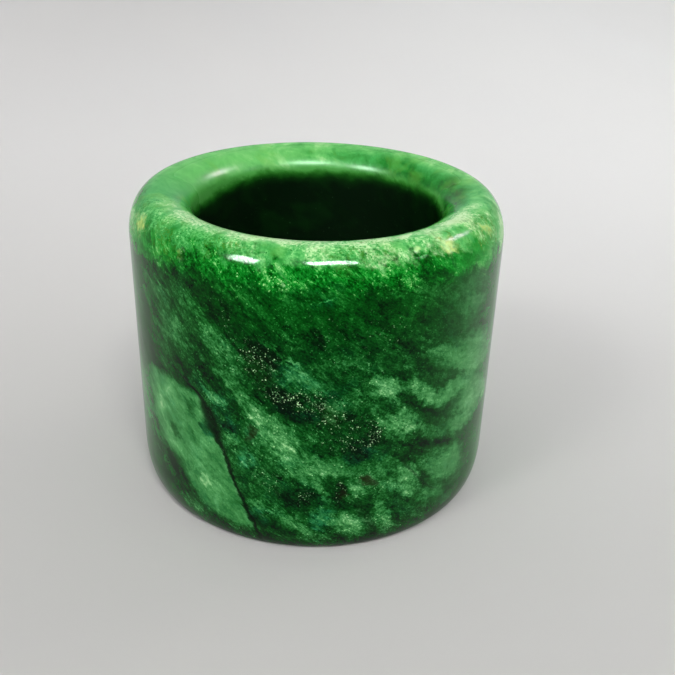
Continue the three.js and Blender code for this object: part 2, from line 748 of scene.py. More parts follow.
FISSURES = (
    Fissure((0.62, 0.30, 0.72), 17.0),
    Fissure((-0.48, 0.66, 0.58), 18.5),
    Fissure((0.20, 0.86, -0.47), 9.0),
)

# The stone's layers: how they face. They slope down to the right across the front
LAYER_FACING = Vector((0.62, -0.20, 0.76)).normalized()
STREAK = Vector((LAYER_FACING.z, 0.0, -LAYER_FACING.x)).normalized()
LAYER_TURN = tuple(Matrix((STREAK, LAYER_FACING.cross(STREAK), LAYER_FACING)).transposed().to_euler())

WALL_TONES: tuple[tuple[float, RGBA], ...] = (
    (0.0, srgb(2, 20, 6)),
    (0.10, srgb(2, 36, 9)),
    (0.28, srgb(3, 58, 12)),
    (0.45, srgb(18, 86, 28)),
    (0.60, srgb(44, 118, 55)),
    (0.75, srgb(70, 146, 78)),
    (0.88, srgb(98, 172, 102)),
    (1.0, srgb(150, 208, 142)),
    (1.4, srgb(196, 232, 184)),
)
SHOULDER_TONES: tuple[tuple[float, RGBA], ...] = (
    (0.0, srgb(0, 30, 4)),
    (0.28, srgb(1, 80, 10)),
    (0.48, srgb(8, 118, 26)),
    (0.66, srgb(32, 152, 48)),
    (0.82, srgb(90, 182, 88)),
    (1.0, srgb(156, 214, 134)),
    (1.5, srgb(204, 234, 176)),
)
RIM_TONES: tuple[tuple[float, RGBA], ...] = (
    (0.0, srgb(6, 80, 16)),
    (0.25, srgb(26, 126, 36)),
    (0.5, srgb(62, 162, 76)),
    (0.7, srgb(104, 192, 104)),
    (0.85, srgb(148, 212, 136)),
    (1.0, srgb(196, 232, 172)),
)
# The mouth's and the bore's greens. The dark low end is painted shade deep in the bore
MOUTH_TONES_AND_PAINTED_SHADE: tuple[tuple[float, RGBA], ...] = (
    (0.0, srgb(2, 22, 4)),
    (0.3, srgb(8, 50, 8)),
    (0.55, srgb(24, 90, 20)),
    (0.75, srgb(50, 132, 42)),
    (0.92, srgb(80, 166, 72)),
)
TEAL_TONES: tuple[tuple[float, RGBA], ...] = (
    (0.0, srgb(1, 12, 10)),
    (0.36, srgb(6, 70, 42)),
    (0.68, srgb(32, 132, 78)),
    (1.0, srgb(108, 196, 140)),
)
CRACK_BLACK = srgb(1, 12, 3)
WARM_RIM = srgb(124, 184, 64)
RUST = srgb(30, 24, 12)
OLIVE = srgb(62, 124, 24)
CREAM = srgb(204, 246, 184)
LEAF = srgb(120, 204, 128)
GOLD = srgb(206, 224, 118)


@dataclass(frozen=True)
class Grain:
    """A kind of noise that is drawn out along the stone's layers.

    Attributes:
        size: Its grain along the streaks, across them and through the layers, in millimetres.
        detail: Octaves of finer noise.
        folds: How much it is folded.
        patch: The noise at the edge of its patches, and the noise from which they are full.
    """

    size: tuple[float, float, float]
    detail: float = 3.0
    folds: float = 0.4
    patch: tuple[float, float] = (0.0, 1.0)


# How rough the finer noise is against the coarser
LAYER_ROUGHNESS = 0.6
# Millimetres past the crack and past the lens's own edge, where the lens starts and ends
LENS_START = (0.1, -0.25)
LENS_END = (-1.2, 1.2)
# What shifts the marks, and how many millimetres for each unit of noise
DRIFTS = ((Grain((3.0, 2.6, 1.8), folds=0.0), 2.6), (Grain((0.75, 0.70, 0.55), folds=0.0), 1.7))
# How much of that shift the seams and spots take
GENTLE_SHARE = 0.35
CRACK_WANDER = Grain((3.0, 3.0, 3.0), folds=0.0)
CRACK_WANDER_REACH = 4.0
CRACK_GAPS = Grain((5.0, 5.0, 3.0), 1.0, 0.0, (-0.10, 0.08))
# The tone
LENS_CLOUD = Grain((2.4, 1.7, 1.5), 2.0)
CLOUDS = Grain((5.5, 4.6, 2.6), 4.0)
FLOW = Grain((2.3, 1.6, 0.75), 2.0, 0.9)
MOTTLE = Grain((0.62, 0.58, 0.46), 4.0, 0.5)
POWDER = Grain((0.20, 0.19, 0.17), 2.0, 0.0)
WISPS = Grain((3.6, 2.4, 0.5), folds=0.9)
WISP_EDGE = (0.022, 0.004)
FLAKE_DRIFT = Grain((1.2, 1.0, 0.5), folds=0.0)
FLAKE_DRIFT_REACH = 2.2
# The size of two kinds of flake, and how much each tones the stone
FLAKES = (((3.4, 2.6, 1.2), 0.22), ((1.2, 0.9, 0.42), 0.12))
# The sizes of single grains, in millimetres
SPECK_SIZE, PEPPER_SIZE, SPARK_SIZE = 0.14, 0.15, 0.12
# The colours of the wall, the rim and the mouth
TEAL_MOTTLE = Grain((0.9, 0.7, 0.4))
TEAL_CLOUD = Grain((4.0, 3.4, 2.2), patch=(0.02, 0.20))
RAGGED_EDGE = Grain((1.6, 1.4, 0.9), 5.0, 0.6)
UNEVEN_DEPTH = Grain((2.2, 2.2, 2.2), 2.0, 0.0)
GRAINY = Grain((3.0, 2.6, 2.0), 2.0, patch=(-0.16, 0.08))
GRANULES = Grain((0.30, 0.26, 0.22), 5.0, 0.0)
SOFT_CLOUD = Grain((2.8, 2.6, 1.8), folds=0.6)
WARMTH = Grain((4.0, 3.6, 2.6), patch=(0.0, 0.16))
MOUTH_CLOUD = Grain((4.5, 4.0, 3.0), 1.0, 0.0, (0.0, 0.16))
# Stains, grains and polish
BLACK_GROUND = Grain((0.9, 0.8, 0.6))
BLACK_EDGE = (0.30, 0.95)
GOLD_MOTTLE = Grain((0.8, 0.7, 0.5), 2.0)
GOLD_CLOUD = Grain((1.8, 1.6, 1.0), patch=(0.0, 0.18))
STAIN = Grain((0.34, 0.30, 0.26), 4.0, 0.0, (-0.08, 0.12))
CLUSTERS = Grain((0.7, 0.6, 0.45), folds=0.0, patch=(-0.08, 0.14))
GLOW = Grain((0.4, 0.4, 0.4), 2.0, 0.0)
SOLID_EDGE = (0.2, 1.0)
SMEAR = Grain((3.0, 2.2, 1.2))


class Reading(Enum):
    """What is read from a layered noise: its number, or the vector that shifts other patterns."""

    VALUE = "Value"
    DRIFT = "Drift"


class Measure(Enum):
    """The measures of a place on the ring, by the StonePlace field that holds each."""

    HEIGHT = "height"
    RADIUS = "radius"
    TOWARD = "toward"
    ASIDE = "aside"


@dataclass(frozen=True)
class Zone:
    """A part of the ring, told by one of the measures of a place on it.

    Attributes:
        measure: The measure.
        start: Where the zone starts, in millimetres.
        full: Where it is full.
    """

    measure: Measure
    start: float
    full: float


# The zones. One that starts at the larger number fills towards the smaller
BESIDE_BORE = Zone(Measure.RADIUS, 11.4, 12.4)
TOWARD_VIEW = Zone(Measure.TOWARD, 2.0, 7.0)
FAR_HALF = Zone(Measure.TOWARD, 2.0, -2.0)
UNDER_RIM = Zone(Measure.HEIGHT, 25.0, 23.5)
OUTSIDE_BORE = Zone(Measure.RADIUS, 11.4, 12.6)
UNSEEN = Zone(Measure.TOWARD, 4.0, -1.0)
SEEN = Zone(Measure.TOWARD, -1.0, 3.0)
FACING = Zone(Measure.TOWARD, 9.0, 14.5)
SMOOTH_RIGHT = Zone(Measure.ASIDE, 7.0, 11.5)
SMOOTH_LEFT = Zone(Measure.ASIDE, -12.5, -14.5)
TURNED_AWAY = Zone(Measure.TOWARD, 9.0, 4.0)
RIGHT_SIDE = Zone(Measure.ASIDE, 9.0, 14.0)
OUTER_WALL = Zone(Measure.RADIUS, 15.0, 16.2)
# Painted shade along the foot
FOOT_PAINTED_SHADE = Zone(Measure.HEIGHT, 2.0, 0.6)
HIGH_WALL = Zone(Measure.HEIGHT, 18.0, 23.0)
FRONT_CENTRE = Zone(Measure.TOWARD, 11.0, 15.0)
ON_TOP = Zone(Measure.RADIUS, 15.0, 13.8)
SHOULDER_SIDES = Zone(Measure.TOWARD, 13.6, 9.5)
FAR_RIM = Zone(Measure.TOWARD, 3.0, -5.0)
MOUTH_SLOPE = Zone(Measure.RADIUS, 13.8, 12.0)
RIGHT_OF_MIDDLE = Zone(Measure.ASIDE, -2.0, 8.0)
VEINED = Zone(Measure.ASIDE, -13.0, 4.0)
FRONT_RIGHT = Zone(Measure.ASIDE, 1.0, 8.0)
RIM_OUTSIDE = Zone(Measure.RADIUS, 14.6, 15.6)
LEFT_SIDE = Zone(Measure.ASIDE, -5.0, -8.0)
RIM_INSIDE = Zone(Measure.RADIUS, 15.0, 13.6)
RIM_FRONT_EDGE = Zone(Measure.RADIUS, 14.5, 15.5)
BORE_LEFT = Zone(Measure.ASIDE, -5.0, -10.5)
IN_BORE = Zone(Measure.RADIUS, 13.0, 12.2)
ABOVE_FOOT = Zone(Measure.HEIGHT, 0.5, 2.5)
RIM_TOP = Zone(Measure.HEIGHT, 25.4, 26.6)
IN_MOUTH = Zone(Measure.RADIUS, 14.2, 13.0)
MOUTH_FAR_SIDE = Zone(Measure.TOWARD, 2.0, -4.0)
# Heights where a ragged or uneven zone starts and where it is full, in millimetres
SHOULDER_EDGE = (23.9, 25.2)
RIM_EDGE = (25.6, 27.0)
# Painted shade down the bore: the mouth is fully shaded below the first height and fully lit above the
# second
PAINTED_BORE_LIGHT_DEPTH = (23.9, 25.7)
MOUTH_TOP = (26.1, 25.3)


def mark_group() -> bpy.types.NodeTree:
    """Build the group that covers an oval on the wall, softly at its edge.

    Returns:
        The group's tree.
    """
    kinds = dict.fromkeys(("Wall", "Centre", "Turn", "Reach"), SocketKind.VECTOR)
    group = new_group("Mark", "ShaderNodeTree", kinds, {"Cover": SocketKind.NUMBER})
    graph = group.graph
    sockets = ("Vector", "Location", "Rotation", "Scale")
    oval = dict(zip(sockets, group.inputs.values()))
    local = graph.take("ShaderNodeMapping", oval, vector_type="TEXTURE")
    # A gradient reads the mapped point as it is, which keeps each mark's work in one short run
    share_output = 1
    ball = graph.take("ShaderNodeTexGradient", {"Vector": local}, share_output, gradient_type="SPHERICAL")
    outside, inside = 0.0, 0.67
    group.give("Cover", graph.step(ball, outside, inside))
    return graph.tree


def laid(group: GroupFrame) -> Signal:
    """Turn a group's stone coordinates to the stone's layers, and measure them in its grains."""
    inputs = {"Vector": group.inputs["Stone"], "Rotation": LAYER_TURN, "Scale": group.inputs["Grain"]}
    return group.graph.take("ShaderNodeMapping", inputs, vector_type="TEXTURE")


def layer_group() -> bpy.types.NodeTree:
    """Build the group that gives noise drawn out along the stone's layers.

    Returns:
        The group's tree.
    """
    vectors = dict.fromkeys(("Stone", "Grain"), SocketKind.VECTOR)
    numbers = dict.fromkeys(("Detail", "Roughness", "Distortion"), SocketKind.NUMBER)
    outputs = {"Value": SocketKind.NUMBER, "Drift": SocketKind.VECTOR}
    group = new_group("Layered grain", "ShaderNodeTree", vectors | numbers, outputs)
    graph = group.graph
    inputs = {"Vector": laid(group), "Scale": 1.0} | {name: group.inputs[name] for name in numbers}
    noise = graph.node("ShaderNodeTexNoise", inputs)
    middle = 0.5
    group.give("Value", graph.output(noise, 0) - middle)
    group.give("Drift", graph.vector_math("SUBTRACT", graph.output(noise, 1), (middle,) * 3))
    return graph.tree


def flake_group() -> bpy.types.NodeTree:
    """Build the group that tones the stone's overlapping flakes, each a little lighter or darker.

    Returns:
        The group's tree.
    """
    kinds = dict.fromkeys(("Stone", "Grain"), SocketKind.VECTOR)
    group = new_group("Flakes", "ShaderNodeTree", kinds, {"Value": SocketKind.NUMBER})
    graph = group.graph
    edge_softness, middle = 0.22, 0.5
    inputs = {"Vector": laid(group), "Scale": 1.0, "Smoothness": edge_softness}
    draw = graph.take("ShaderNodeTexVoronoi", inputs, "Color", feature="SMOOTH_F1")
    group.give("Value", graph.split(draw)[0] - middle)
    return graph.tree


def fleck_group() -> bpy.types.NodeTree:
    """Build the group that scatters uneven grains, each of its own brightness, more where it is dense.

    Returns:
        The group's tree.
    """
    kinds = {"Stone": SocketKind.VECTOR, "Size": SocketKind.NUMBER, "Density": SocketKind.NUMBER}
    outputs = dict.fromkeys(("Cover", "Brightness"), SocketKind.NUMBER)
    group = new_group("Flecks", "ShaderNodeTree", kinds, outputs)
    graph = group.graph
    stone, size, density = group.inputs.values()
    scale = graph.math("DIVIDE", 1.0, size)
    colour_output, wobble_reach, sharpness = 1, 1.4, 8.0
    wobble_inputs = {"Vector": stone, "Scale": scale, "Detail": 1.0}
    wobble = graph.take("ShaderNodeTexNoise", wobble_inputs, colour_output)
    shift = graph.vector_math("SCALE", wobble, size * wobble_reach)
    cell_inputs = {"Vector": graph.vector_math("ADD", stone, shift), "Scale": scale}
    cells = graph.node("ShaderNodeTexVoronoi", cell_inputs)
    draw, brightness, _ = graph.split(graph.output(cells, "Color"))
    presence = graph.math("MULTIPLY", density - draw, sharpness, clamp=True)
    rim, edge = 0.50, 0.16
    grain = graph.math("DIVIDE", rim - graph.output(cells, "Distance"), edge, clamp=True)
    group.give("Cover", grain * presence)
    group.give("Brightness", brightness)
    return graph.tree


@dataclass(frozen=True)
class StonePlace:
    """Where a point of the ring lies, as signals. Lengths are in millimetres.

    Attributes:
        stone: Its place in the stone.
        wall: Its girth from the front, its height and its depth under the outer wall.
        height: Height above the foot.
        radius: Distance from the bore's axis.
        toward: How far it lies in front of the axis.
        aside: How far it lies to the right of the axis.
    """

    stone: Signal
    wall: Signal
    height: Signal
    radius: Signal
    toward: Signal
    aside: Signal

    def share(self, *zones: Zone) -> Signal:
        """Measure how far the point lies inside all of some zones.

        Args:
            *zones: The zones, at least one.

        Returns:
            The share, from 0 to 1.
        """
        shares = []
        for zone in zones:
            measure = getattr(self, zone.measure.value)
            shares.append(measure.graph.step(measure, zone.start, zone.full))
        return reduce(Signal.__mul__, shares)


@dataclass(frozen=True)
class StoneGroups:
    """The shader node groups that the stone's finish places."""

    mark: bpy.types.NodeTree
    layer: bpy.types.NodeTree
    flake: bpy.types.NodeTree
    fleck: bpy.types.NodeTree


@dataclass(frozen=True)
class ToneWeights:
    """How much each feature lightens the tone. Quiet takes texture away, facing adds it in front, and foot
    is the painted shade that darkens the foot.
    """

    ground: float = 0.32
    lens: float = 0.38
    lens_cloud: float = 0.75
    clouds: float = 0.30
    clouds_unseen: float = 0.95
    smooth_left: float = 0.6
    smooth_side: float = 0.8
    quiet: float = -0.65
    flow: float = 0.68
    mottle: float = 0.20
    powder: float = 0.15
    facing: float = 0.55
    side: float = 0.12
    right_side: float = 0.09
    wisps: float = 0.14
    speck_density: float = 0.26
    speck_density_clouds: float = 1.4
    speck: float = 0.03
    speck_light: float = 0.42
    foot: float = 0.12
    sparkle: float = 0.10


@dataclass(frozen=True)
class ShadeWeights:
    """How much each feature steers the colour of the wall, the shoulder and the mouth, and how the painted
    light fades down the bore.
    """

    teal_cloud: float = 0.25
    teal_mottle: float = 4.0
    teal: float = 0.7
    clear: float = 0.7
    clear_tone: float = 0.68
    ragged_height: float = 5.0
    side_height: float = 0.6
    side_tone: float = 0.10
    shoulder_tone: float = 1.35
    unseen_tone: float = 0.35
    shoulder_drop: float = 0.02
    bore_left: float = 0.7
    uneven_height: float = 1.2
    lit: float = 0.9
    lit_tone: float = 0.2
    mouth_tone: float = 0.16
    soft: float = 0.25
    cloud: float = 0.12


@dataclass(frozen=True)
class RimWeights:
    """How much each feature lightens, darkens or warms the rim."""

    ground: float = 0.42
    tone: float = 0.08
    tone_veined: float = 0.22
    soft: float = 0.6
    soft_veined: float = 0.5
    pepper_density: float = 0.75
    pepper_middle: float = 0.62
    pepper: float = 0.62
    granules: float = 0.05
    granules_grainy: float = 1.2
    grainy: float = 0.25
    front_right: float = 0.12
    outer_left: float = 0.16
    inner_front: float = 0.23
    outer_front: float = 0.05
    far_rim: float = 0.18
    right_mouth: float = 0.46
    warmth: float = 0.20
    far_warmth: float = 0.12


@dataclass(frozen=True)
class GrainWeights:
    """How much each feature brings out the black ground, the stains and the single grains."""

    crack: float = 0.9
    black: float = 0.34
    black_mottle: float = 2.6
    gold_front: float = 0.5
    gold: float = 0.8
    gold_mottle: float = 3.0
    stain: float = 0.8
    density: float = 0.02
    density_sparkle: float = 0.14
    density_clusters: float = 1.1
    density_gold: float = 0.15
    density_pale: float = 0.6
    keen: float = 0.4
    keen_sparkle: float = 1.4
    cover: float = 0.06
    cover_keen: float = 0.9
    cover_light: float = 0.22
    golden: float = 0.9
    solid_mottle: float = 1.2
    solid: float = 0.8
    solid_glow: float = 1.6


@dataclass(frozen=True)
class PolishWeights:
    """How much each feature roughens the polish, and how far it stands out or lies deep in the relief."""

    smear: float = 0.06
    mouth: float = 0.22
    peel: float = 0.5
    grains: float = 0.03
    cracks: float = 0.4
    pits: float = 3.0


@dataclass(frozen=True)
class JadeFinish:
    """Polished jade: dark layered green with pale lenses, healed cracks, black seams and bright grains,
    with painted glints among the grains and painted shade down the bore.

    Attributes:
        outer_radius: The ring's outer radius, in millimetres.
        height: Its height, in millimetres.
        depth_reach: Half the depth that a mark on the wall goes into the stone, in millimetres.
        roughness: Of the polish.
        bump_reach: The height of the finest relief, in metres.
        peel_scale: Waves of the polish per millimetre.
        worn_share: How much of the surface scatters light without polish.
        index: The polish's index of refraction.
        gleam_tint: The tint of its reflections.
        glow_share: How much light passes under the surface.
        glow_reach: How far red, green and blue light pass there, against each other.
        glow_depth: How deep, in metres.
        tones: The weights of the tone.
        shades: The weights of the colours.
        rim: The weights of the rim.
        grains: The weights of the grains.
        polish: The weights of the surface.
    """

    outer_radius: float
    height: float
    depth_reach: float = 4.3
    roughness: float = 0.10
    bump_reach: float = 0.03 * MILLIMETRE
    peel_scale: float = 0.7
    worn_share: float = 0.2
    index: float = 1.38
    gleam_tint: RGBA = (0.11, 0.30, 0.13, 1.0)
    glow_share: float = 0.10
    glow_reach: tuple[float, float, float] = (0.35, 1.0, 0.45)
    glow_depth: float = 0.6 * MILLIMETRE
    tones: ToneWeights = ToneWeights()
    shades: ShadeWeights = ShadeWeights()
    rim: RimWeights = RimWeights()
    grains: GrainWeights = GrainWeights()
    polish: PolishWeights = PolishWeights()

    def build(self, name: str) -> bpy.types.Material:
        """Build the material.

        Args:
            name: The material's name.

        Returns:
            The finished material.
        """
        material = bpy.data.materials.new(name)
        material.use_nodes = True
        material.node_tree.nodes.clear()
        graph = Graph(material.node_tree)
        groups = StoneGroups(mark_group(), layer_group(), flake_group(), fleck_group())
        place = self._place(graph)
        front = place.share(TOWARD_VIEW, BESIDE_BORE)
        StoneWork(self, graph, groups, place, front).dress()
        return material

    def _place(self, graph: Graph) -> StonePlace:
        """Work out where the shaded point lies on the ring.

        Args:
            graph: The material's graph.

        Returns:
            Its place.
        """
        coordinates = graph.take("ShaderNodeTexCoord", key="Object")
        stone = graph.vector_math("SCALE", coordinates, PER_MILLIMETRE)
        x, y, height = graph.split(stone)
        toward = y * -1.0
        angle = graph.math("ARCTAN2", x, toward)
        radius = graph.math("SQRT", x * x + y * y)
        wall = graph.combine(angle * self.outer_radius, height, radius * -1.0 + self.outer_radius)
        return StonePlace(stone, wall, height, radius, toward, x)


@dataclass(frozen=True)
class StoneWork:
    """The work on the finish's node tree, step by step from the marks to the polish.

    Attributes:
        finish: The finish that is built.
        graph: The material's graph.
        groups: The shader node groups.
        place: Where the shaded point lies.
        front: 1 on the wall that faces the viewer, 0 on the far side and in the bore.
    """

    finish: JadeFinish
    graph: Graph
    groups: StoneGroups
    place: StonePlace
    front: Signal

    def dress(self) -> None:
        """Build the stone from its marks to its polish."""
        graph, weight = self.graph, self.finish.grains
        drifted, gentle = self._drifted_walls()
        crack = self._cracks(gentle)
        sparkle = graph.math("MINIMUM", self._cover(MarkKind.SPARKLE, drifted), 1.0)
        tone = self._tone(drifted, gentle) - sparkle * self.finish.tones.sparkle
        shade = self._shade(drifted, tone)
        ground = self._layer(BLACK_GROUND) * weight.black_mottle + weight.black
        black = self._larger(crack * weight.crack, graph.step(sparkle, *BLACK_EDGE) * ground)
        shade = graph.blend(black, shade, CRACK_BLACK)
        colour, grain_and_painted_glint = self._grains(drifted, gentle, shade, sparkle)
        self._surface(colour, crack, grain_and_painted_glint)

    def _larger(self, first: Signal, second: Signal) -> Signal:
        """Take the larger of two signals."""
        return self.graph.math("MAXIMUM", first, second)

    def _layer(self, grain: Grain, reading: Reading = Reading.VALUE) -> Signal:
        """Read a layered noise, centred on zero.

        Args:
            grain: The kind of noise.
            reading: What is read from it.

        Returns:
            The noise, from about -0.25 to 0.25.
        """
        inputs = {
            "Stone": self.place.stone,
            "Grain": grain.size,
            "Detail": grain.detail,
            "Roughness": LAYER_ROUGHNESS,
            "Distortion": grain.folds,
        }
        return self.graph.output(self.graph.place(self.groups.layer, inputs), reading.value)

    def _patches(self, grain: Grain) -> Signal:
        """Show the patches of a layered noise, softly at their edges."""
        return self.graph.step(self._layer(grain), *grain.patch)

    def _flecks(self, size: float, density: Signal) -> tuple[Signal, Signal]:
        """Scatter single grains.

        Args:
            size: Their size, in millimetres.
            density: How many there are, from 0 to 1.

        Returns:
            Where they show, and how bright each one is.
        """
        inputs = {"Stone": self.place.stone, "Size": size, "Density": density}
        flecks = self.graph.place(self.groups.fleck, inputs)
        return self.graph.output(flecks), self.graph.output(flecks, "Brightness")

    def _drifted_walls(self) -> tuple[Signal, Signal]:
        """Shift the wall's coordinates, so that no mark has a smooth outline.

        Returns:
            The wall shifted freely, for clouds, and the wall shifted gently, for seams and spots.
        """
        graph, wall = self.graph, self.place.wall
        drifted = wall
        for grain, reach in DRIFTS:
            scaled = graph.vector_math("SCALE", self._layer(grain, Reading.DRIFT), reach)
            drifted = graph.vector_math("ADD", drifted, scaled)
        drift = graph.vector_math("SUBTRACT", drifted, wall)
        part = graph.vector_math("SCALE", drift, GENTLE_SHARE)
        return drifted, graph.vector_math("ADD", wall, part)

    def _cover(self, kind: MarkKind, wall: Signal) -> Signal:
        """Add up all the marks of one kind.

        Args:
            kind: The kind of mark.
            wall: The wall's coordinates.

        Returns:
            The sum of their strengths at the shaded point.
        """
        total: Signal | None = None
        for mark in MARKS[kind]:
            girth = math.radians(mark.azimuth) * self.finish.outer_radius
            length, width = mark.length * MARK_SOFTNESS, mark.width * MARK_SOFTNESS
            inputs = {
                "Wall": wall,
                "Centre": (girth, mark.height, 0.0),
                "Turn": (0.0, 0.0, -math.radians(mark.tilt)),
                "Reach": (length, width, self.finish.depth_reach),
            }
            part = self.graph.output(self.graph.place(self.groups.mark, inputs)) * mark.strength
            total = part if total is None else total + part
        assert total is not None
        return total

    def _seam_offset(self, seam: Seam, wall: Signal) -> tuple[Signal, Signal]:
        """Measure how far round the ring the shaded point lies from a seam.

        Args:
            seam: The seam.
            wall: The wall's coordinates.

        Returns:
            The girth past the seam, in millimetres, and 1 between the seam's ends.
        """
        graph = self.graph
        half_turn, middle, taper = 180.0, 0.5, 0.5
        girth, height, _ = graph.split(wall)
        curve = graph.node("ShaderNodeFloatCurve", {"Value": height / self.finish.height})
        points = curve.mapping.curves[0].points
        while len(points) < len(seam.points):
            points.new(middle, middle)
        for point, (level, azimuth) in zip(points, seam.points):
            point.location = (level / self.finish.height, azimuth / half_turn + middle)
        curve.mapping.update()
        turns = graph.output(curve) - middle
        seam_girth = turns * (math.pi * self.finish.outer_radius)
        low, high = seam.points[0][0], seam.points[-1][0]
        above_start = graph.step(height, low - taper, low + taper)
        ends = above_start * graph.step(height, high + taper, high - taper)
        return girth - seam_girth, ends

    def _seam_line(self, seam: Seam, wall: Signal, width: Term) -> Signal:
        """Draw a seam as a soft line.

        Args:
            seam: The seam.
            wall: The wall's coordinates.
            width: Half its width, in millimetres.

        Returns:
            How much of the line covers the shaded point.
        """
        offset, ends = self._seam_offset(seam, wall)
        away = self.graph.math("ABSOLUTE", offset) / width
        outside, inside = 1.9, 0.5
        return self.graph.step(away, outside, inside) * ends

    def _cracks(self, wall: Signal) -> Signal:
        """Draw the long crack beside the lens, the short ones, and the fissures on the far side.

        Args:
            wall: The wall's coordinates, shifted gently.

        Returns:
            How cracked the stone is.
        """
        graph, place = self.graph, self.place
        from_widest = graph.math("ABSOLUTE", place.height - CRACK_WIDE_HEIGHT)
        main_width = graph.step(from_widest, *CRACK_SWELLING) * CRACK_EXTRA_WIDTH + CRACK.width
        total = self._seam_line(CRACK, wall, main_width)
        short_share = 0.55
        for seam in (RIGHT_CRACK, FOOT_CRACK):
            total = self._larger(total, self._seam_line(seam, wall, seam.width) * short_share)
        wander = self._layer(CRACK_WANDER) * CRACK_WANDER_REACH
        broken = self._patches(CRACK_GAPS)
        far = place.share(FAR_HALF, UNDER_RIM) * broken
        outside, inside = 0.30, 0.08
        for fissure in FISSURES:
            along = graph.vector_math("DOT_PRODUCT", place.stone, fissure.facing, "Value")
            away = graph.math("ABSOLUTE", along + wander - fissure.offset)
            total = self._larger(total, graph.step(away, outside, inside) * far)
        return total * place.share(OUTSIDE_BORE)

    def _lens(self, wall: Signal) -> Signal:
        """Fill the pale lens between the long crack and its own edge.

        Args:
            wall: The wall's coordinates, shifted gently.

        Returns:
            1 in the lens, 0 outside it.
        """
        past_crack, crack_ends = self._seam_offset(CRACK, wall)
        past_edge, edge_ends = self._seam_offset(LENS_EDGE, wall)
        left_of_crack = self.graph.step(past_crack, *LENS_START)
        inside = left_of_crack * self.graph.step(past_edge, *LENS_END)
        return inside * crack_ends * edge_ends

    def _tone(self, wall: Signal, gentle: Signal) -> Signal:
        """Build the stone's tone, from 0 for near black to 1 for the palest green.

        Args:
            wall: The wall's coordinates, shifted freely.
            gentle: The wall's coordinates, shifted gently.

        Returns:
            The tone.
        """
        graph, place, weight = self.graph, self.place, self.finish.tones
        marks = self._cover(MarkKind.TONE, wall)
        lens = self._lens(gentle)
        lens_light = lens * (self._layer(LENS_CLOUD) * weight.lens_cloud + weight.lens)
        tone = marks + lens_light + weight.ground
        clouds = self._layer(CLOUDS)
        tone = tone + clouds * (place.share(UNSEEN) * weight.clouds_unseen + weight.clouds)
        seen = place.share(SEEN)
        smooth_side = place.share(SMOOTH_RIGHT) + place.share(SMOOTH_LEFT) * weight.smooth_left
        quiet = self._larger(lens, smooth_side * seen * weight.smooth_side) * weight.quiet + 1.0
        facing = place.share(FACING)
        flow = self._layer(FLOW)
        mottle = self._layer(MOTTLE)
        tone = tone + flow * quiet * weight.flow
        tone = tone + mottle * quiet * (facing * weight.facing + weight.mottle)
        drift = self._layer(FLAKE_DRIFT, Reading.DRIFT)
        shift = graph.vector_math("SCALE", drift, FLAKE_DRIFT_REACH)
        folded = graph.vector_math("ADD", place.stone, shift)
        for size, share in FLAKES:
            flakes = graph.output(graph.place(self.groups.flake, {"Stone": folded, "Grain": size}))
            tone = tone + flakes * quiet * share
        tone = tone + self._layer(POWDER) * quiet * (facing * weight.facing + weight.powder)
        outer_side = place.share(TURNED_AWAY, OUTER_WALL)
        right_side = place.share(RIGHT_SIDE, OUTER_WALL)
        tone = tone + outer_side * (seen * weight.side + weight.side) + right_side * weight.right_side
        wisps = graph.math("ABSOLUTE", self._layer(WISPS))
        tone = tone + graph.step(wisps, *WISP_EDGE) * quiet * weight.wisps
        density = clouds * weight.speck_density_clouds + weight.speck_density
        specks, light = self._flecks(SPECK_SIZE, density)
        speck_tone = specks * (light * light * weight.speck_light + weight.speck)
        # The tone darkens along the foot: painted shade where the ring meets the floor
        return tone + speck_tone * facing * quiet - place.share(FOOT_PAINTED_SHADE) * weight.foot

    def _shade(self, wall: Signal, tone: Signal) -> Signal:
        """Colour the tone: the wall's greens, the shoulder's clear green, the rim's pale green, and the
        bore darkened by painted shade.

        Args:
            wall: The drifted coordinates of the wall.
            tone: The stone's tone.

        Returns:
            The colour.
        """
        graph, place, weight = self.graph, self.place, self.finish.shades
        mottle = self._layer(TEAL_MOTTLE)
        cloud = self._patches(TEAL_CLOUD)
        teal = self._cover(MarkKind.TEAL, wall) + cloud * weight.teal_cloud
        teal = teal * (mottle * weight.teal_mottle + weight.teal)
        ragged = self._layer(RAGGED_EDGE)
        uneven = self._layer(UNEVEN_DEPTH)
        teal = graph.math("MULTIPLY", teal, 1.0, clamp=True)
        colour = graph.blend(teal, self._ramp(WALL_TONES, tone), self._ramp(TEAL_TONES, tone))
        clear = place.share(HIGH_WALL, FRONT_CENTRE)
        clear_share = clear * weight.clear
        clear_green = self._ramp(SHOULDER_TONES, tone * weight.clear_tone)
        colour = graph.blend(clear_share, colour, clear_green)
        edge_height = place.height + ragged * weight.ragged_height
        on_top = place.share(ON_TOP)
        sides = place.share(SHOULDER_SIDES)
        side_height = edge_height + sides * weight.side_height
        shoulder = self._larger(graph.step(side_height, *SHOULDER_EDGE), on_top)
        shoulder_tone = tone * (weight.shoulder_tone - place.share(UNSEEN) * weight.unseen_tone)
        shoulder_tone = shoulder_tone + sides * weight.side_tone - weight.shoulder_drop
        colour = graph.blend(shoulder, colour, self._ramp(SHOULDER_TONES, shoulder_tone))
        rim = self._larger(graph.step(edge_height, *RIM_EDGE), on_top)
        rim_colour, soft = self._rim(tone)
        colour = graph.blend(rim, colour, rim_colour)
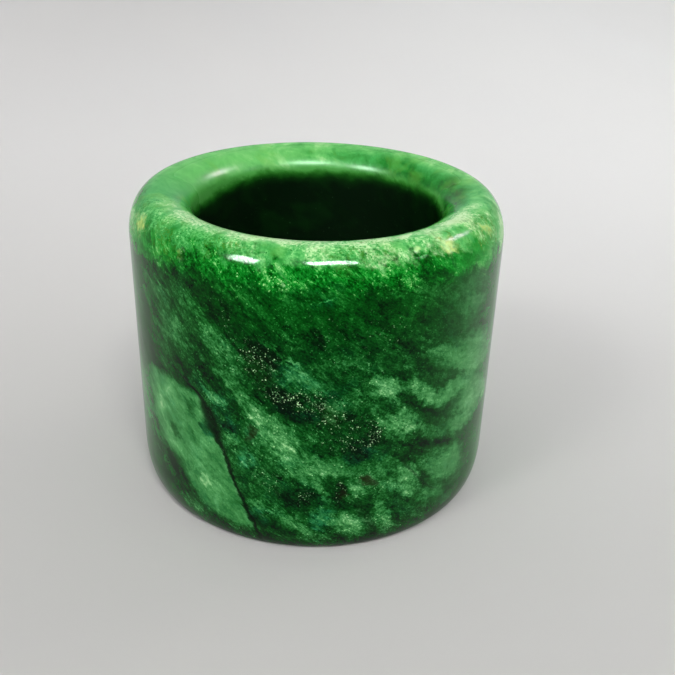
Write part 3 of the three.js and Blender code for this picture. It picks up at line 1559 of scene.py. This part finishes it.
        # Painted shade down the bore: the mouth's colour darkens with depth, and the painted light reaches
        # lower on the left
        deeper = place.share(BORE_LEFT) * weight.bore_left
        lit = graph.step(place.height + uneven * weight.uneven_height + deeper, *PAINTED_BORE_LIGHT_DEPTH)
        cloud = self._patches(MOUTH_CLOUD)
        mouth_tone = lit * weight.lit
        texture = (tone - self.finish.tones.ground) * (lit * weight.lit_tone + weight.mouth_tone)
        mouth_tone = mouth_tone + texture + soft * weight.soft + cloud * weight.cloud
        uneven_height = place.height + uneven * weight.uneven_height
        in_mouth = graph.step(uneven_height, *MOUTH_TOP) * place.share(IN_BORE)
        in_bore = in_mouth * place.share(ABOVE_FOOT)
        return graph.blend(in_bore, colour, self._ramp(MOUTH_TONES_AND_PAINTED_SHADE, mouth_tone))

    def _rim(self, tone: Signal) -> tuple[Signal, Signal]:
        """Colour the rim, which is grainy at its front, softly veined at its right and warm at its back.

        Args:
            tone: The stone's tone.

        Returns:
            The rim's colour, and the soft cloud that it shares with the mouth.
        """
        place, weight = self.place, self.finish.rim
        grainy = self._patches(GRAINY) * self.front
        granules = self._layer(GRANULES)
        soft = self._layer(SOFT_CLOUD)
        far_rim = place.share(FAR_RIM)
        right_mouth = place.share(MOUTH_SLOPE, RIGHT_OF_MIDDLE)
        veined = place.share(VEINED)
        rim_tone = tone * (veined * weight.tone_veined + weight.tone) + weight.ground
        rim_tone = rim_tone + soft * (veined * weight.soft_veined + weight.soft)
        peppered, light = self._flecks(PEPPER_SIZE, grainy * weight.pepper_density)
        pepper = peppered * (light - weight.pepper_middle)
        rim_tone = rim_tone + granules * (grainy * weight.granules_grainy + weight.granules)
        rim_tone = rim_tone + pepper * weight.pepper
        front_right = place.share(FRONT_RIGHT) * self.front
        outer_left = place.share(RIM_OUTSIDE, LEFT_SIDE)
        inner_front = place.share(RIM_INSIDE) * self.front
        outer_front = place.share(RIM_FRONT_EDGE) * self.front
        rim_tone = rim_tone + grainy * weight.grainy + front_right * weight.front_right
        rim_tone = rim_tone - outer_left * weight.outer_left + inner_front * weight.inner_front
        rim_tone = rim_tone - outer_front * weight.outer_front + far_rim * weight.far_rim
        rim_tone = rim_tone - right_mouth * weight.right_mouth
        rim_colour = self._ramp(RIM_TONES, rim_tone)
        warm_share = self._patches(WARMTH) * weight.warmth
        warm_share = warm_share + far_rim * (1.0 - right_mouth) * weight.far_warmth
        return self.graph.blend(warm_share, rim_colour, WARM_RIM), soft

    def _grains(
        self, wall: Signal, gentle: Signal, colour: Signal, sparkle: Signal
    ) -> tuple[Signal, Signal]:
        """Add the stains, the olive and golden grains, and the bright grains, the brightest of which are
        painted glints.

        Args:
            wall: The wall's coordinates, shifted freely.
            gentle: The wall's coordinates, shifted gently.
            colour: The colour so far.
            sparkle: How sparkling the stone is.

        Returns:
            The colour, and where the bright grains and their painted glints show.
        """
        graph, weight = self.graph, self.finish.grains
        mottle = self._layer(GOLD_MOTTLE)
        rust = self._cover(MarkKind.RUST, wall)
        colour = graph.blend(graph.math("MINIMUM", rust, 1.0), colour, RUST)
        front_rim = self.place.share(RIM_TOP) * self.front
        gold_cloud = self._patches(GOLD_CLOUD)
        gold = self._cover(MarkKind.GOLD, wall) + gold_cloud * front_rim * weight.gold_front
        gold_mottle = mottle * weight.gold_mottle + weight.gold
        gold = graph.math("MULTIPLY", gold, gold_mottle, clamp=True)
        colour = graph.blend(gold * self._patches(STAIN) * weight.stain, colour, OLIVE)
        clusters = self._patches(CLUSTERS)
        pale = self._cover(MarkKind.PALE, gentle)
        density = sparkle * (clusters * weight.density_clusters + weight.density_sparkle)
        density = density + gold * weight.density_gold + pale * weight.density_pale + weight.density
        bright, light = self._flecks(SPARK_SIZE, density)
        # The keenest grains are pale crystals whose sparkle is painted in as glints
        keen = light * light * light * (sparkle * weight.keen_sparkle + weight.keen)
        glow = self._layer(GLOW)
        cover = keen * weight.cover_keen + light * weight.cover_light + weight.cover
        grain_and_painted_glint = graph.math("MULTIPLY", bright, cover, clamp=True)
        grain_colour = graph.blend(self._larger(keen, pale), LEAF, CREAM)
        grain_colour = graph.blend(gold * weight.golden, grain_colour, GOLD)
        solid = graph.step(pale + mottle * weight.solid_mottle, *SOLID_EDGE)
        solid = solid * (glow * weight.solid_glow + weight.solid)
        return graph.blend(self._larger(grain_and_painted_glint, solid), colour, grain_colour), grain_and_painted_glint

    def _ramp(self, stops: Sequence[tuple[float, RGBA]], value: Signal) -> Signal:
        """Colour a value by a ramp of stops. The last stop sets how far the ramp reaches.

        Args:
            stops: The ramp's places and colours, from the lowest up.
            value: The value that is coloured.

        Returns:
            The colour.
        """
        reach, middle = stops[-1][0], 0.5
        node = self.graph.node("ShaderNodeValToRGB", {0: value * (1.0 / reach)})
        elements = node.color_ramp.elements
        while len(elements) < len(stops):
            elements.new(middle)
        for element, (position, colour) in zip(elements, stops):
            element.position = position / reach
            element.color = colour
        return self.graph.output(node)

    def _surface(self, colour: Signal, crack: Signal, grain_and_painted_glint: Signal) -> None:
        """Give the stone its polish and relief, and finish the material.

        Args:
            colour: The stone's colour.
            crack: How cracked it is.
            grain_and_painted_glint: Where its bright grains show.
        """
        graph, place, finish = self.graph, self.place, self.finish
        weight = finish.polish
        smear = self._layer(SMEAR)
        mouth = place.share(IN_MOUTH, MOUTH_FAR_SIDE)
        roughness = smear * weight.smear + mouth * weight.mouth + finish.roughness
        peel_inputs = {"Vector": place.stone, "Scale": finish.peel_scale, "Detail": 1.0}
        peel = graph.take("ShaderNodeTexNoise", peel_inputs)
        pits = self._cover(MarkKind.PIT, place.wall)
        raised = peel * weight.peel + grain_and_painted_glint * weight.grains
        relief = raised - crack * weight.cracks - pits * weight.pits
        bump_inputs = {"Height": relief, "Distance": finish.bump_reach, "Strength": 1.0}
        bump = graph.take("ShaderNodeBump", bump_inputs)
        polish = {
            "Base Color": colour,
            "Roughness": roughness,
            "Normal": bump,
            "IOR": finish.index,
            "Specular Tint": finish.gleam_tint,
            "Subsurface Weight": finish.glow_share,
            "Subsurface Radius": finish.glow_reach,
            "Subsurface Scale": finish.glow_depth,
        }
        polished = graph.take("ShaderNodeBsdfPrincipled", polish)
        worn = graph.take("ShaderNodeBsdfDiffuse", {"Color": colour, "Normal": bump})
        mixed = graph.take("ShaderNodeMixShader", {0: finish.worn_share, 1: polished, 2: worn})
        graph.node("ShaderNodeOutputMaterial", {"Surface": mixed})


LIGHT_COLOUR = (1.0, 1.0, 1.0)
GLEAM_COLOUR = (1.0, 0.56, 0.92)


@dataclass(frozen=True)
class Lamp:
    """A ceiling panel, seen from the ring. It lights softly, and its gleam is what the polish reflects.

    Attributes:
        name: Its name.
        azimuth: Degrees from the view's far side, positive to the right.
        elevation: Degrees above level.
        wide: Degrees that it spans sideways.
        tall: Degrees that it spans upwards.
        radiance: Its brightness as a light.
        gleam: Its brightness in reflections.
    """

    name: str
    azimuth: float
    elevation: float
    wide: float
    tall: float
    radiance: float
    gleam: float

    def hang(self, target: Vector, distance: float) -> None:
        """Hang the panel so that it faces the ring.

        Args:
            target: The point that it faces.
            distance: Its distance from that point, in metres.
        """
        azimuth, elevation = math.radians(self.azimuth), math.radians(self.elevation)
        level = math.cos(elevation)
        direction = Vector((level * math.sin(azimuth), level * math.cos(azimuth), math.sin(elevation)))
        turn = direction.to_track_quat("Z", "Y").to_matrix().to_4x4()
        for part, radiance, is_gleam in (("light", self.radiance, False), ("gleam", self.gleam, True)):
            name = f"{self.name}_{part}"
            light = bpy.data.lights.new(name, "AREA")
            light.shape = "RECTANGLE"
            light.size = 2.0 * distance * math.tan(math.radians(self.wide) / 2.0)
            light.size_y = 2.0 * distance * math.tan(math.radians(self.tall) / 2.0)
            light.energy = radiance * math.pi * light.size * light.size_y
            light.color = GLEAM_COLOUR if is_gleam else LIGHT_COLOUR
            if is_gleam:
                light.cycles.max_bounces = 0
            lamp = bpy.data.objects.new(name, light)
            lamp.visible_diffuse = not is_gleam
            lamp.visible_glossy = is_gleam
            lamp.matrix_world = Matrix.Translation(target + direction * distance) @ turn
            bpy.context.scene.collection.objects.link(lamp)


@dataclass(frozen=True)
class Viewpoint:
    """The camera that sees the ring as the photograph does.

    Attributes:
        distance: From the ring's middle, in metres.
        elevation: Degrees above level.
        aim_right: Degrees that it looks to the right of the ring's middle.
        aim_up: Degrees that it looks above the ring's middle.
        roll: Degrees that it is turned about its own axis.
        lens: Focal length in millimetres, for the sensor's width.
        sensor: The sensor's width, in millimetres.
    """

    distance: float = 83.58 * MILLIMETRE
    elevation: float = 26.57
    aim_right: float = 1.432
    aim_up: float = -0.847
    roll: float = 1.757
    lens: float = 47.01
    sensor: float = 36.0

    def build(self, target: Vector) -> None:
        """Place the camera and make it the scene's own.

        Args:
            target: The ring's middle.
        """
        elevation = math.radians(self.elevation)
        forward = Vector((0.0, math.cos(elevation), -math.sin(elevation)))
        above = Vector((0.0, math.sin(elevation), math.cos(elevation)))
        beside = Vector((1.0, 0.0, 0.0))
        position = target - forward * self.distance
        yaw, pitch, roll = (math.radians(angle) for angle in (self.aim_right, self.aim_up, self.roll))
        aim = forward * (math.cos(yaw) * math.cos(pitch)) + beside * math.sin(yaw) + above * math.sin(pitch)
        aim.normalize()
        level_right = aim.cross(Vector((0.0, 0.0, 1.0))).normalized()
        level_up = level_right.cross(aim)
        right = level_right * math.cos(roll) + level_up * math.sin(roll)
        up = level_up * math.cos(roll) - level_right * math.sin(roll)
        data = bpy.data.cameras.new("viewpoint")
        data.lens = self.lens
        data.sensor_width = self.sensor
        data.clip_start = MILLIMETRE
        camera = bpy.data.objects.new("viewpoint", data)
        axes = Matrix((right, up, -aim)).transposed().to_4x4()
        camera.matrix_world = Matrix.Translation(position) @ axes
        bpy.context.scene.collection.objects.link(camera)
        bpy.context.scene.camera = camera


@dataclass(frozen=True)
class Studio:
    """A pale floor under soft light, with painted light that darkens it towards the front and lightens it
    towards the back and the right, and with the ceiling panels that the polish reflects.
    """

    ring_middle: Vector
    lamp_distance: float = 1.2
    floor_reach: float = 4.0
    floor_sides: int = 96
    floor_near: RGBA = srgb(187, 185, 182)
    floor_far: RGBA = srgb(214, 212, 210)
    floor_right_painted_light: RGBA = srgb(236, 235, 233)
    floor_near_line: float = -0.04
    floor_far_line: float = 0.12
    floor_side_line: float = 0.10
    floor_side_share: float = 0.2
    floor_side_share_far: float = 0.6
    floor_roughness: float = 0.9
    sky_colour: RGBA = srgb(236, 238, 240)
    sky_strength: float = 0.66
    lamps: tuple[Lamp, ...] = (
        Lamp("panel_front", 169.0, 53.5, 23.0, 10.0, 20.0, 680.0),
        Lamp("panel_left", -130.0, 40.5, 13.0, 12.0, 14.2, 760.0),
        Lamp("panel_right_low", 109.0, 35.3, 8.0, 6.0, 5.0, 160.0),
        Lamp("panel_right", 62.0, 37.0, 11.0, 10.0, 6.0, 170.0),
    )

    def build(self) -> None:
        """Lay the floor, hang the lamps and set the light of the room."""
        self._floor()
        for lamp in self.lamps:
            lamp.hang(self.ring_middle, self.lamp_distance)
        world = bpy.data.worlds.new("soft_room")
        world.use_nodes = True
        background = world.node_tree.nodes["Background"]
        background.inputs["Color"].default_value = self.sky_colour
        background.inputs["Strength"].default_value = self.sky_strength
        bpy.context.scene.world = world

    def _floor(self) -> None:
        """Lay a round floor, with painted light that makes it paler towards the back and the right."""
        corners = []
        for side in range(self.floor_sides):
            angle = 2.0 * math.pi * side / self.floor_sides
            corners.append((self.floor_reach * math.cos(angle), self.floor_reach * math.sin(angle), 0.0))
        mesh = bpy.data.meshes.new("floor")
        mesh.from_pydata(corners, [], [tuple(range(self.floor_sides))])
        material = bpy.data.materials.new("pale_floor")
        material.use_nodes = True
        graph = Graph(material.node_tree)
        shader = material.node_tree.nodes["Principled BSDF"]
        right, back, _ = graph.split(graph.take("ShaderNodeTexCoord", key="Object"))
        # Painted light: the floor's colour darkens towards the front and brightens towards the back and the
        # right
        depth = graph.step(back, self.floor_near_line, self.floor_far_line)
        side = graph.step(right, -self.floor_side_line, self.floor_side_line)
        colour = graph.blend(depth, self.floor_near, self.floor_far)
        painted_right_light_share = side * (depth * self.floor_side_share_far + self.floor_side_share)
        colour = graph.blend(painted_right_light_share, colour, self.floor_right_painted_light)
        graph.feed(shader.inputs["Base Color"], colour)
        shader.inputs["Roughness"].default_value = self.floor_roughness
        shader.inputs["Specular IOR Level"].default_value = 0.0
        mesh.materials.append(material)
        floor = bpy.data.objects.new("floor", mesh)
        bpy.context.scene.collection.objects.link(floor)


def main() -> None:
    """Build the ring and the studio, and report each piece."""
    logging.basicConfig(level=logging.INFO, format="%(name)s: %(message)s")
    bpy.context.scene.view_settings.view_transform = "Standard"
    form = RingForm.from_frame("ring_body")
    finish = JadeFinish(form.outer_radius * PER_MILLIMETRE, form.height * PER_MILLIMETRE)
    ring = form.build("jade_ring", finish.build("polished_jade"))
    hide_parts("ring_body")
    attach(ring, "root")
    LOG.info("%s: %d faces", ring.name, len(ring.data.polygons))
    middle = Vector((0.0, 0.0, form.height / 2.0))
    Viewpoint().build(middle)
    Studio(middle).build()


if __name__ == "__main__":
    main()
